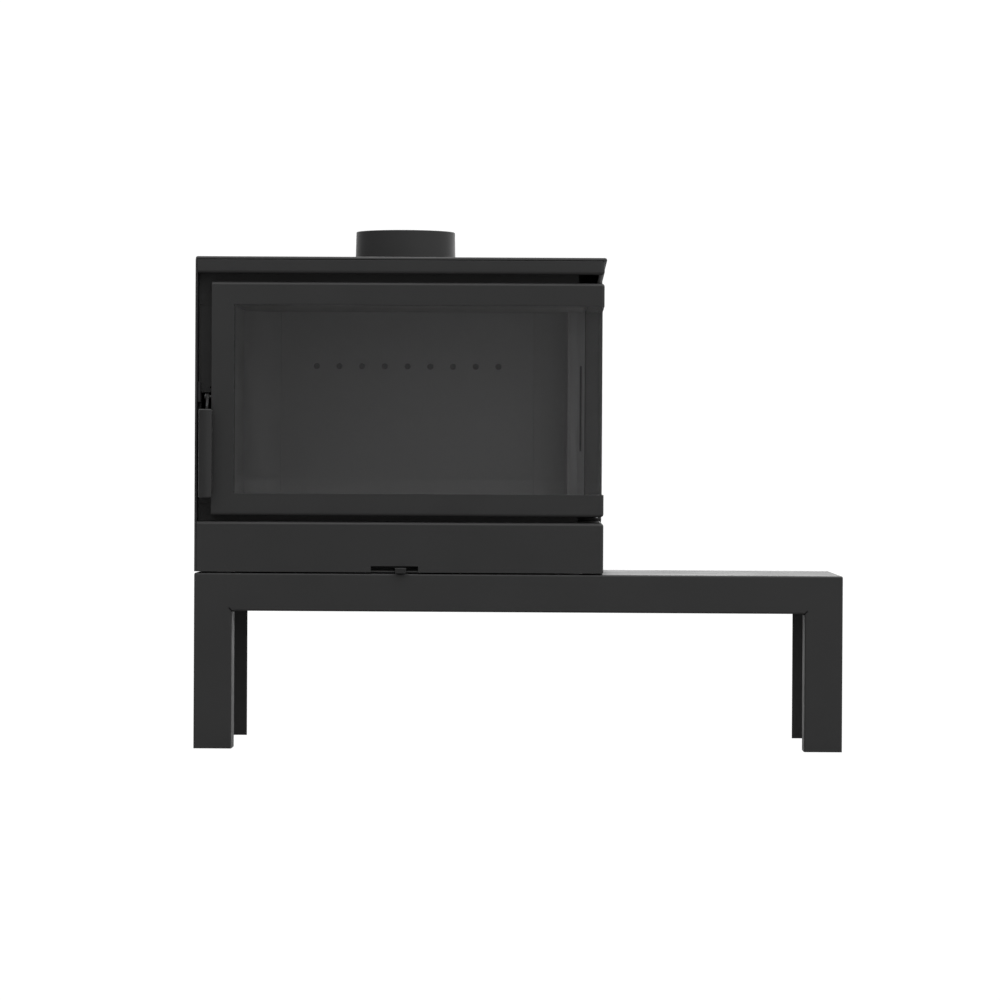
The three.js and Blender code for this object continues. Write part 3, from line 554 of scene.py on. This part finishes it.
class STOVE_OT_finishes(bpy.types.Operator):
    """Makes the paints, metals, glass, brick and rope"""

    bl_idname = "stove.finishes"
    bl_label = "Finishes"

    def execute(self, context):
        tones = context.scene.stove_colours
        make_grain_group()
        make_edge_and_dust_masks()
        painted("stove_paint", tones.paint, tones.paint_roughness)
        # the handle's edges are made far lighter than the other paints': a painted highlight on the grip's
        # rim, over rubbed paint
        painted("handle_paint", tones.paint, tones.paint_roughness - tones.handle_sheen, grain=1200.0,
                edge_wear_and_highlight=4.0)
        painted("firebox_paint", tones.fire_paint, roughness=0.7, bump=0.08, dust=0.06)
        painted("liner_finish", tones.liner, roughness=0.62, grain=500.0, bump=0.06, clouds=0.08,
                edge_wear_and_highlight=1.2, dust=0.05)
        painted("brick_finish", tones.brick, roughness=0.92, grain=260.0, bump=0.5, clouds=0.3,
                edge_wear_and_highlight=1.5, dust=0.3)
        painted("iron_finish", tones.iron, roughness=0.72, grain=420.0, bump=0.3, metallic=0.4,
                clouds=0.25)
        painted("steel_finish", tones.steel, roughness=0.38, grain=300.0, bump=0.02, metallic=1.0,
                stretch=(1.0, 1.0, 0.06), edge_wear_and_highlight=1.4)
        make_rope("rope_finish", tones.rope)
        make_glass("window_glass", tones.glass)
        by_slot = {
            "black_steel": "stove_paint", "handle_steel": "handle_paint",
            "firebox_steel": "firebox_paint", "liner_plate": "liner_finish", "firebrick": "brick_finish",
            "cast_iron": "iron_finish", "bare_steel": "steel_finish", "rope_seal": "rope_finish",
            "stove_glass": "window_glass"}
        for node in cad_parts.values():
            for place in node.material_slots:
                place.material = bpy.data.materials[by_slot[place.material.name]]
        return {"FINISHED"}


# ---------------------------------------------------------------- bench

class STOVE_OT_bench(bpy.types.Operator):
    """Builds the bench: one folded shell with four legs, the front ones folded on both sides"""

    bl_idname = "stove.bench"
    bl_label = "Bench"

    def execute(self, context):
        sizes = context.scene.stove_sizes
        start = low("bench_front_frame")
        end = high("bench_rear_frame").copy()
        end.z = high("bench_top").z
        under = low("bench_left_apron").z
        legs_x = (start.x + sizes.leg_width, end.x - sizes.leg_width)
        legs_y = (high("bench_front_frame").y, low("bench_rear_frame").y)
        relief = sizes.relief_width

        bm = block(start, end)
        slice_at(bm, X, legs_x[0], legs_x[0] + relief, legs_x[1] - relief, legs_x[1])
        slice_at(bm, Y, *legs_y)
        slice_at(bm, Z, under - relief, under)

        def open_space(middle):
            if middle.z > under:
                return False
            on_front = min(middle.y - start.y, end.y - middle.y) < HAIR
            on_side = min(middle.x - start.x, end.x - middle.x) < HAIR
            return (middle.z < HAIR or (on_front and legs_x[0] < middle.x < legs_x[1])
                    or (on_side and legs_y[0] < middle.y < legs_y[1]))

        drop_faces(bm, open_space)
        for leg in legs_x:
            edges = open_edges(bm, lambda p: abs(p.y - start.y) < HAIR and abs(p.x - leg) < HAIR
                               and p.z < under - relief)
            add_return(bm, edges, (0.0, legs_y[0] - start.y, 0.0))
        for face, way in ((start.y, 1.0), (end.y, -1.0)):
            edges = open_edges(bm, lambda p: abs(p.y - face) < HAIR and abs(p.z - under) < HAIR
                               and legs_x[0] + relief < p.x < legs_x[1] - relief)
            add_return(bm, edges, (0.0, way * sizes.apron_return, 0.0))
        for side, way in ((start.x, 1.0), (end.x, -1.0)):
            edges = open_edges(bm, lambda p: abs(p.x - side) < HAIR and abs(p.z - under) < HAIR
                               and legs_y[0] < p.y < legs_y[1])
            add_return(bm, edges, (way * sizes.apron_return, 0.0, 0.0))
        bmesh.ops.recalc_face_normals(bm, faces=bm.faces)
        round_edges(bm, sizes.bench_bend)
        bm = thickened(bm, sizes.sheet)

        # slots at the roots of the folds, deep enough to go right through the sheet
        slots = []
        through = sizes.sheet * 3
        for face in (start.y, end.y):
            for leg, lean in ((legs_x[0], 1.0), (legs_x[1], -1.0)):
                half = Vector((sizes.relief_length, through, sizes.relief_width)) / 2
                slot = block(-half, half)
                turn = Matrix.Rotation(lean * math.radians(45.0), 4, "Y")
                bmesh.ops.transform(slot, matrix=Matrix.Translation((leg, face, under)) @ turn,
                                    verts=slot.verts)
                slots.append(slot)
        bm = carved(bm, *slots)
        finish_piece("bench_shell", bm, "stove_paint", "stove_body", "black_steel", "bench_top",
                     "bench_front_frame", "bench_rear_frame", "bench_left_apron", "bench_right_apron")
        softened("bench_stiffener", "stove_paint", "stove_body", "black_steel", PLATE_EDGE)
        return {"FINISHED"}


# ---------------------------------------------------------------- casing

class STOVE_OT_casing(bpy.types.Operator):
    """Builds the base band, the header band, the top plate and the side and rear panels"""

    bl_idname = "stove.casing"
    bl_label = "Casing"

    def base(self, sizes):
        """Plinth band with its deck and the air notch. Its left end meets the side panel."""
        start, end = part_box("base_panel")
        side = low("left_side_panel").x
        bm = block(start, end)
        slice_at(bm, X, side + sizes.deck_side, end.x - sizes.deck_side)
        slice_at(bm, Y, start.y + sizes.deck_end, end.y - sizes.deck_end)
        drop_faces(bm, lambda p: p.z < start.z + HAIR or p.y > end.y - HAIR or p.x < start.x + HAIR
                   or (p.z > end.z - HAIR and side + sizes.deck_side < p.x < end.x - sizes.deck_side
                       and start.y + sizes.deck_end < p.y < end.y - sizes.deck_end))
        round_edges(bm, sizes.casing_bend)
        bm = thickened(bm, sizes.sheet)
        notch = side + sizes.notch_start
        cutter = block((notch, start.y - sizes.sheet, start.z - sizes.sheet),
                       (notch + sizes.notch_width, start.y + 3 * sizes.sheet,
                        start.z + sizes.notch_height))
        finish_piece("base_band", carved(bm, cutter), "stove_paint", "stove_body", "black_steel",
                     "base_panel")

    def header(self, sizes):
        """Band above the door, of thinner sheet, folded under along its lower edge."""
        start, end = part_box("header_band")
        rim = sizes.header_rim
        fold = sizes.header_return
        thin_sheet = sizes.sheet * 0.8
        bm = block(start, end)
        slice_at(bm, X, start.x + rim, end.x - rim, end.x - fold)
        slice_at(bm, Y, start.y + rim, start.y + fold)
        drop_faces(bm, lambda p: p.y > end.y - HAIR or p.x < start.x + HAIR
                   or (p.z > end.z - HAIR and start.x + rim < p.x < end.x - rim
                       and p.y > start.y + rim)
                   or (p.z < start.z + HAIR and p.y > start.y + fold and p.x < end.x - fold))
        round_edges(bm, sizes.header_corner, lambda p, way: abs(way.z) > HAIR)
        round_edges(bm, sizes.casing_bend, lambda p, way: p.z < start.z + HAIR)
        round_edges(bm, sizes.cut_edge * 3, lambda p, way: p.z > end.z - HAIR, segments=3, least=60.0)
        finish_piece("header_shell", thickened(bm, thin_sheet), "stove_paint", "stove_body",
                     "black_steel", "header_band")

    def top(self, sizes):
        """Top plate with its rolled upper edge and the flue hole."""
        start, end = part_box("top_plate")
        centre = (low("flue_collar") + high("flue_collar")) / 2
        bm = block(start, end)
        round_edges(bm, sizes.plate_edge, lambda p, way: p.z > start.z + HAIR, segments=6)
        hole = rod((centre.x, centre.y, start.z - sizes.sheet), (centre.x, centre.y, end.z + sizes.sheet),
                   sizes.flue_hole, sides=96)
        finish_piece("top_plate_rolled", carved(bm, hole), "stove_paint", "stove_body", "black_steel",
                     "top_plate")

    def execute(self, context):
        sizes = context.scene.stove_sizes
        self.base(sizes)
        self.header(sizes)
        self.top(sizes)

        start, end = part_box("right_rear_panel")
        bm = block(start, end)
        drop_faces(bm, lambda p: p.z < start.z + HAIR or p.z > end.z - HAIR
                   or p.x < start.x + HAIR or p.y > end.y - HAIR)
        round_edges(bm, sizes.casing_bend)
        finish_piece("right_rear_strip", thickened(bm, sizes.sheet), "stove_paint", "stove_body",
                     "black_steel", "right_rear_panel")
        for node in ("left_side_panel", "rear_panel", "base_floor"):
            softened(node, "stove_paint", "stove_body", "black_steel", PANEL_EDGE)
        for node in ("catch_plate", "hinge_bracket_lower", "hinge_bracket_upper"):
            softened(node, "stove_paint", "stove_body", "black_steel", PLATE_EDGE)
        return {"FINISHED"}


class STOVE_OT_collar(bpy.types.Operator):
    """Turns the flue collar with its flange and its rounded rim"""

    bl_idname = "stove.collar"
    bl_label = "Flue collar"

    def execute(self, context):
        sizes = context.scene.stove_sizes
        start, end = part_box("flue_collar")
        centre = (start + end) / 2
        centre.z = 0.0
        flange = (end.x - start.x) / 2
        wall = sizes.sheet
        seat = start.z + sizes.collar_flange
        rim = wall * 0.45
        fillet = wall
        bm = turned([
            (sizes.collar_foot - wall, start.z), (flange - rim, start.z), (flange, start.z + rim),
            (flange, seat - rim), (flange - rim, seat), (sizes.collar_foot + fillet, seat),
            (sizes.collar_foot + fillet * ROUND_MIDDLE, seat + fillet * ROUND_MIDDLE),
            (sizes.collar_foot, seat + fillet), (sizes.collar_rim, end.z - rim),
            (sizes.collar_rim - rim * ROUND_MIDDLE, end.z - rim * ROUND_MIDDLE),
            (sizes.collar_rim - rim, end.z), (sizes.collar_rim - wall + rim, end.z),
            (sizes.collar_rim - wall + rim * ROUND_MIDDLE, end.z - rim * ROUND_MIDDLE),
            (sizes.collar_rim - wall, end.z - rim),
        ], centre)
        finish_piece("flue_collar_turned", bm, "stove_paint", "stove_body", "black_steel",
                     "flue_collar", edge=0.0)
        return {"FINISHED"}


# ---------------------------------------------------------------- firebox

class STOVE_OT_firebox(bpy.types.Operator):
    """Builds the liners with their rounded corners and air holes, and the plates behind the door"""

    bl_idname = "stove.firebox"
    bl_label = "Firebox"

    def corner_liner(self, sizes, node, way):
        """A side liner that turns into the back through a quarter circle. `way` is 1 on the left."""
        start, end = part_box(node)
        face = start.x + sizes.liner if way > 0 else end.x - sizes.liner
        back = end.y - sizes.liner
        radius = (end.x - face) if way > 0 else (face - start.x)
        centre = Vector((face + way * radius, back - radius, 0.0))
        bm = bmesh.new()
        foot = bm.verts.new((face, start.y, start.z))
        head = bm.verts.new((face, start.y, end.z))
        edge = bm.edges.new((foot, head))
        add_return(bm, [edge], (0.0, centre.y - start.y, 0.0))
        leading = open_edges(bm, lambda p: p.y > centre.y - HAIR)
        ends = [vert for item in leading for vert in item.verts]
        bmesh.ops.spin(bm, geom=ends + leading, cent=centre, axis=(0.0, 0.0, 1.0),
                       dvec=(0.0, 0.0, 0.0), angle=-way * math.radians(90.0), steps=LINER_STEPS,
                       use_merge=False, use_duplicate=False)
        bmesh.ops.recalc_face_normals(bm, faces=bm.faces)
        bm.normal_update()
        bm.faces.ensure_lookup_table()
        towards_fire = Vector((way, 0.0, 0.0))
        if bm.faces[0].normal.dot(towards_fire) < 0:
            bmesh.ops.reverse_faces(bm, faces=bm.faces)
        finish_piece(f"{node}_plate", thickened(bm, sizes.liner), "liner_finish", "stove_body",
                     "liner_plate", node, edge=sizes.liner_joint)

    def execute(self, context):
        sizes = context.scene.stove_sizes
        self.corner_liner(sizes, "left_liner", 1)
        self.corner_liner(sizes, "right_liner", -1)

        start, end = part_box("back_liner")
        middle = (start.x + end.x) / 2
        level = high("left_liner").z - sizes.hole_drop
        holes = []
        for index in range(sizes.holes):
            x = middle + (index - (sizes.holes - 1) / 2) * sizes.hole_pitch
            holes.append(rod((x, start.y - sizes.liner, level), (x, end.y + sizes.liner, level),
                             sizes.hole_radius))
        finish_piece("back_liner_plate", carved(block(start, end), *holes), "liner_finish",
                     "stove_body", "liner_plate", "back_liner", edge=sizes.liner_joint)

        # the rear jamb is firebox steel but takes the lighter liner finish: painted light on its face,
        # which lies in the shaded corner behind the glass
        softened("rear_jamb", "liner_finish", "stove_body", "firebox_steel", PLATE_EDGE)
        for node in ("seal_frame_bottom", "seal_frame_top", "seal_frame_left", "firebox_floor",
                     "firebox_roof", "firebox_left_wall", "firebox_rear_wall", "ash_box", "air_box"):
            softened(node, "firebox_paint", "stove_body", "firebox_steel", PLATE_EDGE)
        softened("hearth_plate", "brick_finish", "stove_body", "firebrick", BRICK_EDGE)
        softened("baffle", "brick_finish", "baffle", "firebrick", BRICK_EDGE)
        softened("grate", "iron_finish", "grate", "cast_iron", CAST_EDGE)
        softened("ash_pan", "firebox_paint", "ash_pan", "firebox_steel", THIN_EDGE)
        softened("air_slide", "stove_paint", "air_control", "black_steel", PLATE_EDGE)
        return {"FINISHED"}


# ---------------------------------------------------------------- door

class STOVE_OT_door(bpy.types.Operator):
    """Builds the L-shaped door: one folded frame round a front pane and a side pane"""

    bl_idname = "stove.door"
    bl_label = "Door"

    def execute(self, context):
        sizes = context.scene.stove_sizes
        start = low("door_bottom_rail")
        end = high("door_top_rail")
        deep_x = end.x - sizes.door_depth
        deep_y = start.y + sizes.door_depth
        window_left = high("door_left_stile").x
        window_rear = low("door_rear_stile").y
        window = (high("door_bottom_rail").z, low("door_top_rail").z)

        bm = block(start, end)
        slice_at(bm, X, window_left, deep_x)
        slice_at(bm, Y, deep_y, window_rear)
        slice_at(bm, Z, *window)

        def left_out(p):
            behind = p.x < deep_x and p.y > deep_y
            glazed = window[0] < p.z < window[1] and (
                (p.y < start.y + HAIR and p.x > window_left)
                or (p.x > end.x - HAIR and p.y < window_rear))
            return behind or glazed

        drop_faces(bm, left_out)
        middle = (start.x + end.x) / 2

        def outer_fold(p, way):
            """Level folds on the front and the right, and the upright one where they meet."""
            on_front = p.y < start.y + HAIR
            if abs(way.z) < HAIR:
                return on_front or p.x > end.x - HAIR
            return on_front and p.x > middle

        round_edges(bm, sizes.door_bend, outer_fold)
        round_edges(bm, sizes.cut_edge * 2, lambda p, way: abs(way.z) > HAIR and (
            p.x < start.x + HAIR or p.y > end.y - HAIR), segments=3, least=60.0)
        bars = ("door_bottom_rail", "door_top_rail", "door_left_stile", "door_rear_stile")
        finish_piece("door_frame", thickened(bm, sizes.sheet), "stove_paint", "door", "black_steel",
                     *bars)

        # inner walls: the frame's hollow bars without their outer skin. They take the lighter firebox paint
        # in place of the frame's own black paint, as painted light on walls that lie in shade behind the
        # glass
        skin = sizes.sheet + sizes.cut_edge
        reach = Vector((skin, skin, skin))
        outer_low, outer_high = start - reach, end + reach
        for node in bars:
            skins = []
            for axis in (X, Y, Z):
                near, far = outer_high.copy(), outer_low.copy()
                near[axis] = start[axis] + skin
                far[axis] = end[axis] - skin
                skins += [block(outer_low, near), block(far, outer_high)]
            finish_piece(f"{node}_inside", carved(merged_copy(node), *skins), "firebox_paint", "door",
                         "black_steel", node)

        for node in ("front_glass", "side_glass"):
            softened(node, "window_glass", "door", "stove_glass", THIN_EDGE)
        for node in ("glass_retainer_bottom", "glass_retainer_top"):
            softened(node, "firebox_paint", "door", "firebox_steel", RETAINER_EDGE)
        for node in ("door_seal_bottom", "door_seal_top", "door_seal_left", "door_seal_rear"):
            softened(node, "rope_finish", "door", "rope_seal", ROPE_EDGE)
        for node in ("stile_screw_lower", "stile_screw_upper"):
            softened(node, "firebox_paint", "door", "firebox_steel", THIN_EDGE)
        for node in ("hinge_pin_lower", "hinge_pin_upper"):
            softened(node, "steel_finish", "door", "bare_steel", THIN_EDGE)
        return {"FINISHED"}


class STOVE_OT_handle(bpy.types.Operator):
    """Builds the door handle: a crowned grip on an arm, with its spindle and latch hook"""

    bl_idname = "stove.handle"
    bl_label = "Handle"

    def execute(self, context):
        sizes = context.scene.stove_sizes
        start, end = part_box("handle_grip")
        bm = block(start, end)
        round_edges(bm, sizes.grip_corner, lambda p, way: abs(way.y) > HAIR)
        round_edges(bm, sizes.grip_edge, lambda p, way: p.y < start.y + HAIR, segments=4)
        middle = (start.x + end.x) / 2
        half = (end.x - start.x) / 2
        slice_at(bm, X, *(start.x + 2 * half * step / GRIP_STRIPS for step in range(1, GRIP_STRIPS)))
        for vert in bm.verts:
            if vert.co.y < start.y + sizes.grip_edge + HAIR:
                fall = sizes.grip_crown * ((vert.co.x - middle) / half) ** 2
                bmesh.ops.translate(bm, vec=(0.0, fall, 0.0), verts=[vert])
        finish_piece("handle_grip_crowned", bm, "handle_paint", "handle", "handle_steel",
                     "handle_grip", edge=0.0)
        for node in ("handle_arm", "latch_hook"):
            softened(node, "handle_paint", "handle", "handle_steel", ARM_EDGE)
        softened("handle_spindle", "handle_paint", "handle", "handle_steel", THIN_EDGE)
        return {"FINISHED"}


# ---------------------------------------------------------------- stage

class STOVE_OT_stage(bpy.types.Operator):
    """Sets the camera, the pale floor and the soft studio light"""

    bl_idname = "stove.stage"
    bl_label = "Stage"

    def floor(self, settings):
        """A wide floor that shows plain white. As a light it glows, and gives back part of what it gets."""
        bm = bmesh.new()
        bmesh.ops.create_grid(bm, x_segments=1, y_segments=1, size=settings.floor / 2)
        floor = as_object("studio_floor", bm)
        material = bpy.data.materials.new("studio_floor")
        material.use_nodes = True
        tree = material.node_tree
        tree.nodes.clear()
        glow = add_node(tree, "ShaderNodeEmission", {"Color": WHITE, "Strength": settings.ground})
        pale = add_node(tree, "ShaderNodeBsdfDiffuse", {"Color": (settings.bounce,) * 3 + (1.0,)})
        plain = add_node(tree, "ShaderNodeAddShader", {0: glow.outputs[0], 1: pale.outputs[0]})
        white = add_node(tree, "ShaderNodeEmission", {"Color": WHITE, "Strength": WHITE_STRENGTH})
        path = add_node(tree, "ShaderNodeLightPath")
        mixed = add_node(tree, "ShaderNodeMixShader", {
            0: path.outputs["Is Camera Ray"], 1: plain.outputs[0], 2: white.outputs[0]})
        add_node(tree, "ShaderNodeOutputMaterial", {"Surface": mixed.outputs[0]})
        floor.data.materials.append(material)

    def world(self, scene, settings):
        """White to look at; as a light, brightest above and behind, and darkest on the left."""
        world = bpy.data.worlds.new("studio_light")
        world.use_nodes = True
        scene.world = world
        tree = world.node_tree
        tree.nodes.clear()
        way = add_node(tree, "ShaderNodeTexCoord").outputs["Generated"]
        parts = add_node(tree, "ShaderNodeSeparateXYZ", {0: way}).outputs
        light = settings.around
        for part, start, end, name in ROOM_RAMPS:
            more = ramp(tree, parts[part], start, end, to_end=getattr(settings, name))
            light = maths(tree, "ADD", light, more)
        lit = add_node(tree, "ShaderNodeBackground", {"Color": WHITE, "Strength": light})
        white = add_node(tree, "ShaderNodeBackground", {"Color": WHITE, "Strength": WHITE_STRENGTH})
        path = add_node(tree, "ShaderNodeLightPath")
        mixed = add_node(tree, "ShaderNodeMixShader", {
            0: path.outputs["Is Camera Ray"], 1: lit.outputs[0], 2: white.outputs[0]})
        add_node(tree, "ShaderNodeOutputWorld", {"Surface": mixed.outputs[0]})

    def execute(self, context):
        scene = context.scene
        settings = scene.stove_stage
        scene.view_settings.view_transform = "Standard"

        camera = bpy.data.objects.new("camera", bpy.data.cameras.new("camera"))
        camera.data.lens = settings.lens
        camera.data.sensor_width = SENSOR_WIDTH
        camera.data.clip_end = CLIP_END
        upright = Matrix.Rotation(math.radians(90.0) - settings.dip, 4, "X")
        camera.matrix_world = (
            Matrix.Translation(settings.eye) @ Matrix.Rotation(settings.turn, 4, "Z") @ upright
            @ Matrix.Rotation(settings.lean, 4, "Z"))
        scene.collection.objects.link(camera)
        scene.camera = camera

        self.floor(settings)
        self.world(scene, settings)
        box = bpy.data.lights.new("soft_box", "AREA")
        box.shape = "RECTANGLE"
        box.size, box.size_y = SOFT_BOX_SIZE
        box.energy = settings.key
        light = bpy.data.objects.new("soft_box", box)
        light.location = SOFT_BOX_PLACE
        aim = Vector(SOFT_BOX_AIM) - light.location
        light.rotation_mode = "QUATERNION"
        light.rotation_quaternion = aim.to_track_quat("-Z", "Y")
        scene.collection.objects.link(light)
        return {"FINISHED"}


# ---------------------------------------------------------------- add-on

BUILD_STEPS = (STOVE_OT_finishes, STOVE_OT_stage, STOVE_OT_bench, STOVE_OT_casing, STOVE_OT_collar,
               STOVE_OT_firebox, STOVE_OT_door, STOVE_OT_handle)


class STOVE_PT_panel(bpy.types.Panel):
    """Lists the stove's pieces in the sidebar"""

    bl_idname = "STOVE_PT_panel"
    bl_label = "Corner Window Stove"
    bl_space_type = "VIEW_3D"
    bl_region_type = "UI"
    bl_category = "Stove"

    def draw(self, context):
        for step in BUILD_STEPS:
            self.layout.operator(step.bl_idname)
        for group in ("stove_sizes", "stove_colours", "stove_stage"):
            settings = getattr(context.scene, group)
            box = self.layout.box()
            for name in settings.__annotations__:
                box.prop(settings, name)


CLASSES = (StoveSizes, StoveColours, StoveStage, *BUILD_STEPS, STOVE_PT_panel)


def register():
    """Makes the operators, settings and panel known to Blender."""
    for item in CLASSES:
        bpy.utils.register_class(item)
    bpy.types.Scene.stove_sizes = bpy.props.PointerProperty(type=StoveSizes)
    bpy.types.Scene.stove_colours = bpy.props.PointerProperty(type=StoveColours)
    bpy.types.Scene.stove_stage = bpy.props.PointerProperty(type=StoveStage)


def unregister():
    """Takes them away again."""
    del bpy.types.Scene.stove_stage
    del bpy.types.Scene.stove_colours
    del bpy.types.Scene.stove_sizes
    for item in reversed(CLASSES):
        bpy.utils.unregister_class(item)


def main():
    """Builds the whole stove."""
    register()
    bpy.ops.stove.finishes()
    bpy.ops.stove.stage()
    bpy.ops.stove.bench()
    bpy.ops.stove.casing()
    bpy.ops.stove.collar()
    bpy.ops.stove.firebox()
    bpy.ops.stove.door()
    bpy.ops.stove.handle()


if __name__ == "__main__":
    main()
